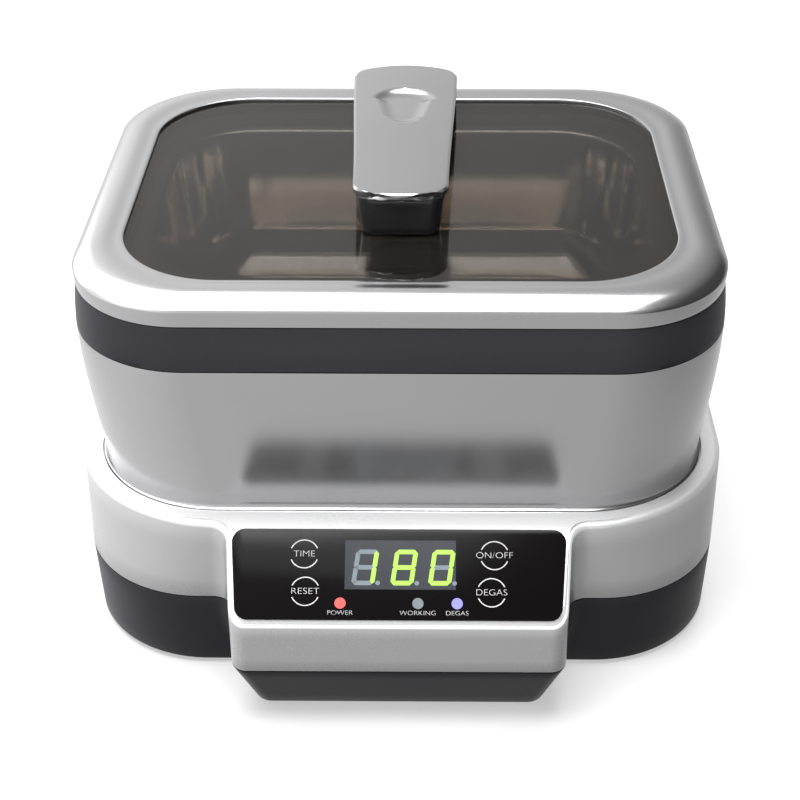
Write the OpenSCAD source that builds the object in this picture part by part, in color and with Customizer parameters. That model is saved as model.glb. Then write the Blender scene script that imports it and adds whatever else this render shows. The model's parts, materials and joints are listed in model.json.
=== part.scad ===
// Bench ultrasonic cleaner: a powered base, a lift-off tank unit and a windowed lid.
// The origin is the middle of the footprint, on the surface that the feet stand on.
// +X is to the user's right, +Y is away from the user and +Z is up.

/* [Outline] */
// Width of the base at its top, its widest level
base_w = 248.2; // [244:0.2:252]
// Depth of the base at its top, without the control block
base_d = 205.8; // [202:0.2:208]
// Corner radius of the base at its top
corner_r = 58; // [56:0.5:60]
// Steps in each rounded corner
corner_steps = 9; // [6:1:12]
// Wall thickness of the moulded shells
wall = 2.5; // [2:0.1:3]

/* [Base] */
// Gap that the feet leave under the lower shell
foot_gap = 1.5; // [1:0.1:2.5]
// Height of the joint line between the two base shells
split_h = 32.7; // [31:0.1:34]
// Height of the joint line across the front of the control block
block_split_h = 23; // [21:0.5:25]
// Height of the top of the base
base_h = 66.8; // [66:0.1:68]
// Floor height of the well that the tank unit stands in
well_h = 60; // [59:0.5:61]
// Diameter of a rubber foot
foot_d = 18; // [14:1:20]

/* [Control block] */
// Distance from the tank axis to the front of the control block
block_reach = 134.2; // [132:0.1:136]
// Half width of the control block at its front
block_half_w = 60.5; // [59:0.1:62]
// Tilt of the control panel from the horizontal
panel_tilt = 40; // [38:1:42]
// Height of the black panel along its slope
panel_len = 33; // [32:0.1:33.5]
// Half width of the black panel at its upper edge
panel_half_top = 60.3; // [59:0.1:61]
// Half width of the black panel at its lower edge
panel_half_low = 58.6; // [57:0.1:59]

/* [Tank unit] */
// Width of the tank unit at its widest line
tank_w = 235.6; // [232:0.2:238]
// Depth of the tank unit at its widest line
tank_d = 201.8; // [198:0.2:203]
// Corner radius of the tank unit at its widest line
tank_r = 44; // [42:0.5:46]
// Height of the widest line, where housing and collar meet
collar_low_h = 129.6; // [128:0.1:131]
// Height of the collar's top, where the lid rests
collar_top_h = 145; // [144:0.1:146]
// Half width of the tank's mouth
mouth_half_w = 93; // [91:0.5:94]
// Half depth of the tank's mouth
mouth_half_d = 63.5; // [62:0.5:65]
// Height of the tank's floor
tank_floor_h = 88; // [86:0.5:92]
// Sheet thickness of the steel tank
sheet_t = 0.8; // [0.6:0.1:1]
// Diameter of a piezo disc
piezo_d = 50; // [40:1:50]

/* [Lid] */
// Half width of the visible window
window_half_w = 100.6; // [100:0.1:102]
// Half depth of the visible window
window_half_d = 80.1; // [79:0.1:81]
// Corner radius of the visible window
window_r = 37.5; // [36:0.5:39]
// Thickness of the window
window_t = 2.2; // [2:0.1:2.5]
// Width of the handle cover at its rear end
handle_rear_w = 43.6; // [42:0.2:45]
// Width of the handle cover at its front end
handle_front_w = 34; // [32:0.2:36]
// Height of the handle's top at its front end
handle_h = 171; // [169:0.5:172]

/* [Hidden] */
$fn = 24;
eps = 0.05;
big = 400;

half_w = base_w / 2;
half_d = base_d / 2;
block_side_angle = 5;
block_lean = 3;
block_corner_r = 6;
block_fillet_r = 7.5;

// The outline's main levels, each as half width, half depth and corner radius
base_low = [half_w - 2.3, half_d - 0.6, corner_r - 10.1];
base_joint = [half_w - 1.8, half_d + 1, corner_r - 11];
base_mid = base_low + (base_joint - base_low) * block_split_h / split_h;
base_top = [half_w, half_d, corner_r];
rabbet = [half_w - 7.5, half_d - 7.5, corner_r - 8.6];
tray = [half_w - 12.9, half_d - 12.5, corner_r - 13];
waist = [tank_w / 2 - 2.4, tank_d / 2 - 7.6, tank_r + 3.5];
belly = [tank_w / 2 - 0.4, tank_d / 2 - 3.8, tank_r + 2];
widest = [tank_w / 2, tank_d / 2, tank_r];
lid_rim = [tank_w / 2 - 0.8, tank_d / 2 - 4, tank_r - 2];
window = [window_half_w, window_half_d, window_r];
chamfer_w = 2.4;
chamfer_h = 1.9;
rabbet_h = 64.4;
rim_gap = 0.4;
waist_h = 71;
belly_h = 100;

// The control panel's local frame starts at the middle of its upper edge
panel_y = -106.2;
panel_z = 66.7;
panel_t = 1.6;
panel_wall = 3.2;
board_t = 1.6;
display_t = 8;
touch_spots = [[-34.9, -9.3], [-34.3, -23.5], [33.5, -9.6], [32.4, -23.7]];
led_spots = [[-22.1, -27.6], [5.7, -27.6], [19.7, -27.6]];
display_mid = [-0.3, -13.2];
display_size = [39.8, 17.9];
led_d = 4;
pad_d = 8;
board_face = display_t + panel_t;
play = 0.4;
boss_low = 20;
socket_size = [34, 20];
socket_h = 17.6;

inlet_z = 49;
inlet_face_y = 104.8;
inlet_flange_t = 2.3;
inlet_flange = [49, 24];
inlet_screw_x = 20;

inlet_cavity = [24.4, 16.2];
inlet_body = [28, 20];
inlet_depth = 17;
pin_spots = [[-7, -2], [7, -2], [0, 2]];
pin_size = [2, 4];
pin_tip_y = 99.4;
pin_rear_y = 78.8;

// Screw bores and the bosses round them
pilot_d = 3;
shank_hole_d = 3.4;
head_hole_d = 7.4;
base_boss_d = 8;
base_foot_boss_d = 10;
board_boss_d = 7;
board_pilot_d = 2.4;
board_hole_d = 3;
wire_d = 3;
clearance = 0.3;

foot_pocket = 1.7;
foot_spots = [for (x = [-72, 72], y = [-78, 78]) [x, y]];
base_screw_spots = [for (x = [-98, 98], y = [-70, 70]) [x, y]];
board_spots = [for (x = [-58, 58], y = [-42, 34]) [x, y]];
control_board_spots = [for (x = [-52, 52], y = [-4, -29]) [x, y]];
cover_screw_spots = [for (s = [-1, 1]) each [[-88, s * 76], [0, s * 84.5], [88, s * 76]]];
retainer_spots = [for (x = [-60, 0, 60], y = [-86.6, 86.6]) [x, y]];
handle_screw_ys = [-24, 56];
handle_rear_h = 165.4;
cover_sole = [[-47.5, handle_h - 2.2], [-46, handle_h - 3.4], [-30, handle_h - 5.4],
              [72, handle_rear_h - 3.5], [79, handle_rear_h - 5]];
piezo_x = 40;

floor_t = 3;
board_z = 9;
board_mid_y = -4;
board_size = [130, 90];
board_top = board_z + board_t;
plug_y = 58;
pin_xs = [-8, 0, 8];
cover_top = 63.9;
cover_t = 2.4;
plug_top = 77;
flange_z = 146.4;
glass_z = 151.2;
lip_z = 154.7;
crest_z = 155.2;

// The whole model moves back so that the footprint is centred on the origin
tank_y = (block_reach - inlet_face_y) / 2;

// ---- outlines and lofts ----

function arc(c, r, from, to, n) =
    [for (i = [0:n]) let (t = from + (to - from) * i / n) [c.x + r * cos(t), c.y + r * sin(t)]];

function at_z(points, z) = [for (p = points) [p.x, p.y, z]];

function rounded_rect(a, b, r) = concat(
    arc([a - r, b - r], r, 0, 90, corner_steps),
    arc([r - a, b - r], r, 90, 180, corner_steps),
    arc([r - a, r - b], r, 180, 270, corner_steps),
    arc([a - r, r - b], r, 270, 360, corner_steps));

// A ring of the body from one of its levels, moved in by the given inset
function ring(p, z, inset = 0) =
    at_z(rounded_rect(p[0] - inset, p[1] - inset, p[2] - inset), z);

function free_ring(a, b, r, z) = at_z(rounded_rect(a, b, r), z);

// Right half of the base outline, from the middle of the control block to the rear.
// The control block's side meets the body's corner in a concave fillet.
function base_half(p, w, front) =
    let (s = block_side_angle, a = p[0], b = p[1], r = p[2],
         rc = block_corner_r, rf = block_fillet_r,
         normal = [cos(s), -sin(s)],
         along = [sin(s), cos(s)],
         reach = normal * [w, front],
         cy = front + rc,
         cx = (reach - rc + cy * sin(s)) / cos(s),
         corner = [a - r, r - b],
         q = normal * (reach + rf) - corner,
         step = -(q * along) - sqrt((q * along) ^ 2 - q * q + (r + rf) ^ 2),
         tangent = normal * (reach + rf) + along * step,
         on_arc = tangent.x > corner.x,
         f = on_arc ? tangent : [(reach + rf - (b + rf) * sin(s)) / cos(s), -b - rf],
         turn = on_arc ? atan2(f.y - corner.y, f.x - corner.x) : -90)
    concat(arc([cx, cy], rc, -90, -s, 4),
           arc(f, rf, 180 - s, turn + 180, 5),
           arc(corner, r, turn, 0, corner_steps),
           arc([a - r, b - r], r, 0, 90, corner_steps));

function base_ring(p, w, front, z) =
    let (h = base_half(p, w, front), n = len(h))
    concat([for (p = h) [p.x, p.y, z]], [for (i = [n - 1:-1:0]) [-h[i].x, h[i].y, z]]);

// Side faces between two neighbouring rings of m points
function skin(k, next, m) = [for (i = [0:m - 1]) let (j = (i + 1) % m)
    each [[k * m + i, next * m + i, next * m + j], [k * m + i, next * m + j, k * m + j]]];

// Solid through a stack of rings, closed by its first and last ring
module loft(rings) {
    m = len(rings[0]);
    last = len(rings) - 1;
    sides = [for (k = [0:last - 1]) each skin(k, k + 1, m)];
    caps = [[for (i = [0:m - 1]) i], [for (i = [m - 1:-1:0]) last * m + i]];
    polyhedron(points = [for (r = rings) each r], faces = concat(caps, sides));
}

// Frame-shaped solid whose rings run round its cross-section
module loop_loft(rings) {
    m = len(rings[0]);
    n = len(rings);
    polyhedron(points = [for (r = rings) each r],
               faces = [for (k = [0:n - 1]) each skin(k, (k + 1) % n, m)]);
}

function bezier(p, n) = [for (i = [0:n]) let (t = i / n, u = 1 - t)
    u ^ 3 * p[0] + 3 * u * u * t * p[1] + 3 * u * t * t * p[2] + t ^ 3 * p[3]];

function unit(v) = v / norm(v);

// Round wire along a list of points
module wire(points, d, sides = 8) {
    n = len(points);
    lean = [0.31, 0.17, 0.94];
    rings = [for (i = [0:n - 1])
        let (t = unit(points[min(i + 1, n - 1)] - points[max(i - 1, 0)]),
             u = unit(cross(t, lean)), v = cross(t, u))
        [for (j = [0:sides - 1]) let (g = 360 * j / sides)
            points[i] + d / 2 * (cos(g) * u + sin(g) * v)]];
    loft(rings);
}

module placed() {
    translate([0, tank_y, foot_gap]) children();
}

module on_panel() {
    translate([0, panel_y, panel_z]) rotate([panel_tilt, 0, 0]) children();
}

module block(size, at) {
    translate([at.x - size.x / 2, at.y - size.y / 2, at.z]) cube(size);
}

module post(d, h, at) {
    translate(at) cylinder(d = d, h = h);
}

// Pan-head screw pointing up, its head's bearing face at the origin
module screw(head_d, head_h, shank_d, shank_h) {
    translate([0, 0, -head_h]) cylinder(d = head_d, h = head_h);
    translate([0, 0, -eps]) cylinder(d = shank_d, h = shank_h + eps);
}

// ---- base ----

// Everything above the joint line, which steps down across the control block
module above_joint() {
    rise = split_h - block_split_h;
    curve = [for (i = [0:8]) [-126 + 13 * i / 8, block_split_h + rise * (1 - cos(180 * i / 8)) / 2]];
    side = concat([[-big, block_split_h]], curve, [[big, split_h], [big, big], [-big, big]]);
    rotate([90, 0, 90]) translate([0, 0, -big]) linear_extrude(2 * big) polygon(side);
}

module below_panel(depth) {
    on_panel() translate([-big, -big, -2 * big - depth]) cube(2 * big);
}

// Outer rings of the base, moved in by the given thickness
function shell_ring(p, w, reach, z, inset) =
    base_ring(p - inset * [1, 1, 1], w - inset, inset - reach, z);

function lower_rings(inset, bottom) =
    [shell_ring(base_low - 1.2 * [1, 1, 1], block_half_w - 8.7, block_reach - 9.7, bottom, inset),
     shell_ring(base_low, block_half_w - 7.2, block_reach - 8.1, bottom + 1.2, inset),
     shell_ring(base_mid, block_half_w, block_reach, block_split_h, inset),
     shell_ring(base_joint, block_half_w, block_reach, split_h, inset)];

// Distance to the block's front face, which leans back above its joint line
function front_at(z) = block_reach - tan(block_lean) * (z - block_split_h);

function upper_rings(inset, top) =
    [shell_ring(base_mid, block_half_w, block_reach, block_split_h - top, inset),
     shell_ring(base_joint, block_half_w, front_at(split_h), split_h + 0.4, inset),
     shell_ring(base_top, block_half_w, front_at(base_h), base_h - chamfer_h - top, inset),
     shell_ring(base_top - chamfer_w * [1, 1, 1], block_half_w - chamfer_w,
                front_at(base_h), base_h - top, inset)];

// Keeps a moulded shell with many small features as one faceted surface
module moulding() {
    resize([0, 0, 0]) children();
}

// Tray that carries the tank unit, with a stepped rim
module well(extra) {
    step_h = rabbet_h - extra;
    loft([ring(tray, well_h - extra, -extra), ring(tray, step_h, -extra),
          ring(rabbet, step_h, -extra), ring(rabbet, base_h + 5, -extra)]);
}

module panel_outline(grow) {
    r = 4.6;
    hull() {
        for (s = [-1, 1]) {
            translate([s * (panel_half_top - r), -r]) circle(r = r + grow, $fn = 32);
            translate([s * (panel_half_low - r), r - panel_len]) circle(r = r + grow, $fn = 32);
        }
    }
}

module base_upper_shell() {
    color("silver") placed() moulding() difference() {
        union() {
            difference() {
                intersection() {
                    loft(upper_rings(0, 0));
                    above_joint();
                    below_panel(0);
                }
                difference() {
                    intersection() {
                        loft(upper_rings(wall, wall));
                        below_panel(panel_wall);
                    }
                    well(wall);
                }
            }
            for (p = base_screw_spots)
                post(base_boss_d, well_h - wall - boss_low + 0.5, [p.x, p.y, boss_low]);
            on_panel() for (p = control_board_spots)
                post(board_boss_d - 1, board_face - panel_wall + 1, [p.x, p.y, -board_face]);
        }
        well(0);
        for (p = base_screw_spots) post(pilot_d, 16, [p.x, p.y, boss_low - 1]);
        panel_holes();
        block([socket_size.x + play, socket_size.y + play, 20], [0, plug_y, well_h - 10]);
        block([inlet_flange.x + play, 20, inlet_flange.y + play],
              [0, inlet_face_y - inlet_flange_t + 10, inlet_z - (inlet_flange.y + play) / 2]);
        block([inlet_body.x + play, 30, inlet_body.y + play],
              [0, inlet_face_y - 10, inlet_z - (inlet_body.y + play) / 2]);
        for (s = [-1, 1]) translate([s * inlet_screw_x, inlet_face_y, inlet_z])
            rotate([90, 0, 0]) cylinder(d = pilot_d, h = 12);
    }
}

// Recess of the overlay, the windows behind it and the board's screw bores
module panel_holes() {
    deep = 6;
    on_panel() {
        translate([0, 0, -panel_t]) linear_extrude(panel_t + 5) panel_outline(0.1);
        block([display_size.x + 0.6, display_size.y + 0.6, deep],
              [display_mid.x, display_mid.y, -deep]);
        for (p = led_spots) post(led_d + play, deep, [p.x, p.y, -deep]);
        for (p = touch_spots) post(pad_d + 1, deep, [p.x, p.y, -deep]);
        for (p = control_board_spots) post(board_pilot_d, deep, [p.x, p.y, -board_face - 1]);
    }
}

module base_lower_shell() {
    color("dimgray") placed() moulding() difference() {
        union() {
            difference() {
                loft(lower_rings(0, 0));
                above_joint();
                loft(lower_rings(wall, floor_t));
            }
            for (p = base_screw_spots) post(base_foot_boss_d, boss_low - 0.2, [p.x, p.y, 0]);
            for (p = board_spots)
                post(board_boss_d, board_z - floor_t + 0.5, [p.x, p.y, floor_t - 0.5]);
        }
        for (p = base_screw_spots) {
            post(shank_hole_d, boss_low + 10, [p.x, p.y, -1]);
            post(head_hole_d, 13, [p.x, p.y, -1]);
        }
        for (p = board_spots) post(board_pilot_d, 6, [p.x, p.y, board_z - 5]);
        for (p = foot_spots) post(foot_d + 0.2, foot_pocket + 1, [p.x, p.y, -1]);
    }
}

module rubber_feet() {
    r = foot_d / 2;
    color("#202022") placed() for (p = foot_spots) translate([p.x, p.y, -foot_gap])
        rotate_extrude() polygon([[0, 0], [r - 1.8, 0], [r - 0.9, 0.5], [r - 0.4, 1.4],
                                  [r, foot_gap], [r, foot_gap + foot_pocket],
                                  [0, foot_gap + foot_pocket]]);
}

module base_screws() {
    color("gainsboro") placed() for (p = base_screw_spots)
        translate([p.x, p.y, 12]) screw(6.8, 2.2, 2.9, 16);
}

// ---- control panel ----

module panel_overlay() {
    color("#181417") placed() on_panel()
        translate([0, 0, -panel_t]) linear_extrude(panel_t) panel_outline(0);
}

module display_module() {
    color("#2a3138") placed() on_panel()
        block([display_size.x, display_size.y, display_t],
              [display_mid.x, display_mid.y, -board_face]);
}

module indicator_leds() {
    color("#d8d8d8") placed() on_panel() for (p = led_spots) {
        post(led_d, 4.8, [p.x, p.y, -6.5]);
        post(led_d + 0.6, 1.5, [p.x, p.y, -board_face]);
        for (s = [-1, 1]) post(0.6, 2, [p.x + s * 1.2, p.y, -board_face + 1.2]);
    }
}

module touch_pads() {
    color("#3b3b3b") placed() on_panel() for (p = touch_spots)
        post(pad_d, display_t, [p.x, p.y, -board_face]);
}

module control_board() {
    color("#1f5c3a") placed() on_panel() difference() {
        block([112, 31, board_t], [0, -16.5, -board_face - board_t]);
        for (p = control_board_spots)
            post(board_hole_d, 10, [p.x, p.y, -board_face - board_t - 4]);
    }
}

// Flat cable that hangs in an S from the control board to the driver board
module ribbon_cable() {
    start = [-107, 41.6];
    end = [-44, board_top];
    points = [for (i = [0:14]) let (t = i / 14)
        [start.x + (end.x - start.x) * t, start.y + (end.y - start.y) * (1 - cos(180 * t)) / 2]];
    thick = concat(points, [for (i = [14:-1:0]) points[i] + [0.4, 1]]);
    color("lightgray") placed() rotate([90, 0, 90]) translate([0, 0, -9])
        linear_extrude(18) polygon(thick);
}

// ---- driver electronics ----

module driver_board() {
    color("#1f5c3a") placed() difference() {
        block([board_size.x, board_size.y, board_t], [0, board_mid_y, board_z]);
        for (p = board_spots) post(board_hole_d, 10, [p.x, p.y, board_z - 4]);
    }
}

module board_screws() {
    color("gainsboro") placed() {
        for (p = board_spots) translate([p.x, p.y, board_top]) rotate([180, 0, 0])
            screw(5.4, 1.8, 2.3, 5);
        on_panel() for (p = control_board_spots)
            translate([p.x, p.y, -board_face - board_t]) screw(5.4, 1.8, 2.3, 5);
    }
}

transformer_at = [-32, -18, 0];

module transformer_core() {
    color("#3a3a3e") placed() translate([transformer_at.x, transformer_at.y, board_top])
        difference() {
            block([36, 11, 30], [0, 0, 2]);
            for (s = [-1, 1]) block([7, 20, 20], [s * 9.5, 0, 7]);
        }
}

module transformer_winding() {
    color("#c9a227") placed() translate([transformer_at.x, transformer_at.y, board_top])
        difference() {
            union() {
                block([24, 24, 17.5], [0, 0, 8.2]);
                for (s = [-1, 1]) block([24, 5, 1.6], [0, s * 9, 0.4]);
                for (s = [-1, 1]) block([4, 4, 8.4], [0, s * 9, 0]);
            }
            block([12.4, 11.4, 60], [0, 0, -5]);
        }
}

module heatsink() {
    fins = 9;
    pitch = 7;
    color("#8f9296") placed() translate([22, 26, board_top]) {
        block([62, 3, 34], [0, 0, 0]);
        for (i = [0:fins - 1]) block([1.6, 12.5, 34], [pitch * (i - (fins - 1) / 2), 7.5, 0]);
    }
}

module power_transistors() {
    color("#26262a") placed() for (x = [8, 36]) translate([x, 0, board_top]) {
        block([10, 4.4, 10], [0, 22.2, 6]);
        block([10, 1.4, 16.5], [0, 23.7, 6]);
        for (s = [-1:1]) block([0.8, 0.8, 7], [s * 2.54, 22.2, 0]);
    }
}

module filter_capacitors() {
    color("#1d3c6e") placed() {
        post(18, 28, [42, -28, board_top]);
        post(10, 17, [20, -34, board_top]);
        post(10, 17, [6, -34, board_top]);
    }
}

module output_coil() {
    color("#b5622a") placed() translate([12, -8, board_top + 6.5])
        rotate_extrude() translate([9, 0]) circle(d = 8, $fn = 24);
    color("#b5622a") placed() post(5, 3, [21, -8, board_top]);
}

module fuse() {
    color("#d9dde0") placed() translate([-50, 22, board_top + 6]) {
        translate([-10, 0, 0]) rotate([0, 90, 0]) cylinder(d = 5.2, h = 20);
        for (s = [-1, 1]) block([5, 3, 6], [s * 7.5, 0, -6]);
    }
}

// ---- mains inlet ----

module power_inlet() {
    flange_back = inlet_face_y - inlet_flange_t;
    color("#1c1c1f") placed() difference() {
        union() {
            block([inlet_flange.x, inlet_flange_t, inlet_flange.y],
                  [0, inlet_face_y - inlet_flange_t / 2, inlet_z - inlet_flange.y / 2]);
            block([inlet_body.x, inlet_depth + eps, inlet_body.y],
                  [0, flange_back - inlet_depth / 2, inlet_z - inlet_body.y / 2]);
        }
        block([inlet_cavity.x, 15, inlet_cavity.y],
              [0, inlet_face_y - 7, inlet_z - inlet_cavity.y / 2]);
        for (s = [-1, 1]) translate([s * inlet_screw_x, inlet_face_y + 1, inlet_z])
            rotate([90, 0, 0]) cylinder(d = pilot_d + clearance, h = 10);
        for (p = pin_spots)
            block([pin_size.x + 0.2, 30, pin_size.y + 0.2],
                  [p.x, inlet_face_y - 15, inlet_z + p.y - pin_size.y / 2 - 0.1]);
    }
}

module inlet_pins() {
    color("#c8c9cc") placed() for (p = pin_spots)
        block([pin_size.x, pin_tip_y - pin_rear_y, pin_size.y],
              [p.x, (pin_tip_y + pin_rear_y) / 2, inlet_z + p.y - pin_size.y / 2]);
}

module inlet_screws() {
    color("gainsboro") placed() for (s = [-1, 1])
        translate([s * inlet_screw_x, inlet_face_y, inlet_z]) rotate([90, 0, 0])
            screw(5.6, 0.01, 2.8, 9);
}

// Each wire hangs from the underside of a pin's rear end and drops onto the board
module power_wires() {
    low = inlet_z - pin_size.y - 0.1;
    end_x = -48;
    color("#7a3b2a") placed() for (s = [-1, 1])
        wire(bezier([[s * 7, 82, low], [s * 7, 82, 20], [end_x + s * 5, 36, 46],
                     [end_x + s * 5, 32, board_top + clearance]], 14), wire_d);
}

// ---- connection between base and tank unit ----

module base_socket() {
    color("#2c2c30") placed() difference() {
        union() {
            block([socket_size.x, socket_size.y, socket_h], [0, plug_y, well_h - socket_h]);
            block([socket_size.x + 6, socket_size.y + 6, wall],
                  [0, plug_y, well_h - 2 * wall - 0.1]);
        }
        for (x = pin_xs) post(4, 14, [x, plug_y, well_h - 11]);
    }
}

module socket_wires() {
    end_x = -22;
    color("#a33b32") placed() for (s = [-1, 1])
        wire(bezier([[s * 8, plug_y, well_h - socket_h - 0.1], [s * 8, plug_y, 20],
                     [end_x + s * 4, 36, 44], [end_x + s * 4, 34, board_top + clearance]], 14), wire_d);
}

// ---- tank unit ----

module tank_housing() {
    rim_low = cover_top;
    shelf = rim_low + wall;
    color("silver") placed() difference() {
        union() {
            loop_loft([ring(rabbet, rabbet_h, rim_gap), ring(rabbet, base_h + 0.2, rim_gap),
                       ring((rabbet + 2 * waist) / 3, base_h + 1.2),
                       ring(waist, waist_h), ring(belly, belly_h), ring(widest, collar_low_h),
                       ring(widest, collar_low_h, wall), ring(belly, belly_h, wall),
                       ring(waist, waist_h, wall), ring(waist, shelf, wall),
                       ring(waist, shelf, 9), ring(waist, rim_low, 9),
                       ring(tray, rim_low, 0.6), ring(tray, rabbet_h, 0.6)]);
            for (p = cover_screw_spots) post(9, 14, [p.x, p.y, rim_low]);
        }
        for (p = cover_screw_spots) post(2.6, 12, [p.x, p.y, rim_low - 1]);
    }
}

module tank_collar() {
    lap = 5;
    color("#3d3c42") placed() loop_loft([
        ring(widest, collar_low_h), ring(lid_rim, collar_top_h),
        free_ring(mouth_half_w + 4, mouth_half_d + 4, 34, collar_top_h),
        free_ring(mouth_half_w + 4, mouth_half_d + 4, 34, collar_top_h - wall),
        ring(lid_rim, collar_top_h - wall, wall),
        ring(widest, collar_low_h - lap, 2 * wall + 0.6),
        ring(widest, collar_low_h - lap, wall + 1),
        ring(widest, collar_low_h, wall + 0.2)]);
}

// Basin ring at a height above the tank floor, with 5 degrees of draft
function basin_ring(h, inset) =
    let (top = flange_z + sheet_t - tank_floor_h, d = inset + tan(5) * (top - h))
    free_ring(mouth_half_w - d, mouth_half_d - d, 32 - d, tank_floor_h + h);

module steel_tank() {
    fillet = 18;
    steps = 5;
    depth = flange_z + sheet_t - tank_floor_h;
    rim = 2.5;
    bottom_curve = [for (i = [0:steps]) let (t = 90 * i / steps)
        basin_ring(fillet * (1 - cos(t)), fillet * (1 - sin(t)))];
    under_curve = [for (i = [0:steps]) let (t = 90 * i / steps)
        at_z(rounded_rect_outside(bottom_curve[i], sheet_t), tank_floor_h - sheet_t * cos(t)
             + fillet * (1 - cos(t)))];
    color("#c4c2be") placed() loft(concat(
        under_curve,
        [at_z(rounded_rect_outside(basin_ring(depth - rim, 0), sheet_t), flange_z - rim),
         free_ring(mouth_half_w + 2, mouth_half_d + 2, 34, flange_z),
         free_ring(109, 87.5, 38, flange_z),
         free_ring(109.8, 88.3, 38.8, collar_top_h + 0.1),
         free_ring(110.6, 89.1, 39.6, collar_top_h + 0.1),
         free_ring(110, 88.5, 39, flange_z + sheet_t),
         free_ring(mouth_half_w + 1.6, mouth_half_d + 1.6, 33.6, flange_z + sheet_t),
         basin_ring(depth - rim, 0)],
        [for (i = [steps:-1:0]) bottom_curve[i]]));
}

// The same ring grown outwards by t, measured from the tank axis
function rounded_rect_outside(points, t) =
    [for (p = points) [p.x + sign(p.x) * t, p.y + sign(p.y) * t]];

module tank_gasket() {
    color("#e8e4dc") placed() loop_loft([
        free_ring(107, 85.5, 37, collar_top_h), free_ring(107, 85.5, 37, flange_z),
        free_ring(99, 71, 35, flange_z), free_ring(99, 71, 35, collar_top_h)]);
}

module piezo_discs() {
    color("#6b6354") placed() for (s = [-1, 1])
        post(piezo_d, 3, [s * piezo_x, 0, tank_floor_h - sheet_t - 3]);
}

module transducer_leads() {
    color("#a33b32") placed() for (s = [-1, 1])
        wire(bezier([[s * piezo_x, 15, tank_floor_h - sheet_t - 4.6],
                     [s * (piezo_x - 8), 40, tank_floor_h - 12],
                     [s * 8, plug_y - 2, 92], [s * 8, plug_y, plug_top + clearance]], 14), wire_d);
}

module tank_plug() {
    color("#2c2c30") placed() difference() {
        union() {
            block([30, 16, plug_top - cover_top], [0, plug_y, cover_top]);
            block([26, 12, cover_t + 1.4], [0, plug_y, cover_top - cover_t - 1.35]);
        }
        for (x = pin_xs) post(3.1, 20, [x, plug_y, 58]);
    }
}

module plug_pins() {
    color("#c9b36a") placed() for (x = pin_xs) {
        post(3, 20, [x, plug_y, 53]);
        translate([x, plug_y, 51.5]) cylinder(d1 = 1.6, d2 = 3, h = 1.5 + eps);
    }
}

module tank_bottom_cover() {
    color("#3d3c42") placed() difference() {
        loft([ring(tray, cover_top - cover_t, 1.2), ring(tray, cover_top - cover_t + 0.6, 0.6),
              ring(tray, cover_top, 0.6)]);
        block([26.4, 12.4, 10], [0, plug_y, cover_top - 5]);
        for (p = cover_screw_spots) {
            post(3.2, 10, [p.x, p.y, cover_top - 5]);
            post(6.4, 1.4, [p.x, p.y, cover_top - cover_t - 0.2]);
        }
    }
}

module cover_screws() {
    color("gainsboro") placed() for (p = cover_screw_spots)
        translate([p.x, p.y, cover_top - cover_t + 1.2]) screw(6, 1.1, 2.5, 9);
}

// ---- lid ----

module lid_frame() {
    seat = glass_z + window_t;
    // Rounded top from the outer edge to the window: share of the way across and height
    crown = [[0.04, 152.6], [0.19, 154.1], [0.46, crest_z], [0.77, lip_z - 0.1],
             [0.93, lip_z - 0.1], [1, lip_z - 0.5]];
    color("silver") placed() difference() {
        loop_loft(concat([ring(lid_rim, collar_top_h), ring(lid_rim, 151, -0.3)],
            [for (c = crown) ring(lid_rim + (window - lid_rim) * c[0], c[1])],
            [ring(window, seat), ring(window, seat, -4.6), ring(window, glass_z, -4.6),
             ring(lid_rim, glass_z, 5.4), ring(lid_rim, 148.4, wall),
             ring(lid_rim, collar_top_h, wall)]));
        for (p = retainer_spots) post(2, 4, [p.x, p.y, glass_z - 1]);
    }
}

module lid_window() {
    color("#4b4642", 0.55) placed() difference() {
        loft([ring(window, glass_z, -4.4), ring(window, glass_z + window_t, -4.4)]);
        for (y = handle_screw_ys) post(5, 10, [0, y, glass_z - 4]);
    }
}

module window_retainer() {
    low = glass_z - 1.6;
    color("#2a2a2d") placed() difference() {
        loop_loft([ring(lid_rim, low, 6), ring(lid_rim, glass_z, 6),
                   ring(window, glass_z, -0.6), ring(window, low, -0.6)]);
        for (p = retainer_spots) post(2.4, 6, [p.x, p.y, glass_z - 3]);
    }
}

module retainer_screws() {
    color("gainsboro") placed() for (p = retainer_spots)
        translate([p.x, p.y, glass_z - 1.6]) screw(4.4, 1, 1.9, 4.4);
}

module handle_base() {
    low = glass_z + window_t;
    front = -45;
    rear = 78.5;
    mid = (front + rear) / 2;
    half = (rear - front) / 2;
    color("#141416") placed() difference() {
        union() {
            translate([0, mid, 0]) loft([free_ring(14.35, half, 4.5, low + 0.6),
                                         free_ring(14.9, half, 4.5, low + 4.6),
                                         free_ring(15.75, half - 0.6, 5.5, handle_h)]);
            for (y = handle_screw_ys) post(12, 1.2, [0, y, low]);
        }
        for (y = handle_screw_ys) post(shank_hole_d - 0.2, 12, [0, y, low - 1]);
        handle_side([[big, 200], [-big, 200], [-big, cover_sole[0].y]]);
    }
}

// Outline of the handle cover from above: two long sides and two bowed ends
module handle_plan() {
    front = -47;
    rear = 91.5;
    bow = 2.6;
    function end_arc(w, y, s) = [for (i = [-6:6]) let (x = i / 6) [s * x * w / 2, y + s * bow * x * x]];
    polygon(concat(end_arc(handle_front_w, front, 1), end_arc(handle_rear_w, rear, -1)));
}

// Side profile of the handle's parting surface, closed by further points, as a solid
module handle_side(closing) {
    rotate([90, 0, 90]) translate([0, 0, -40]) linear_extrude(80)
        polygon(concat(cover_sole, closing));
}

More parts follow.
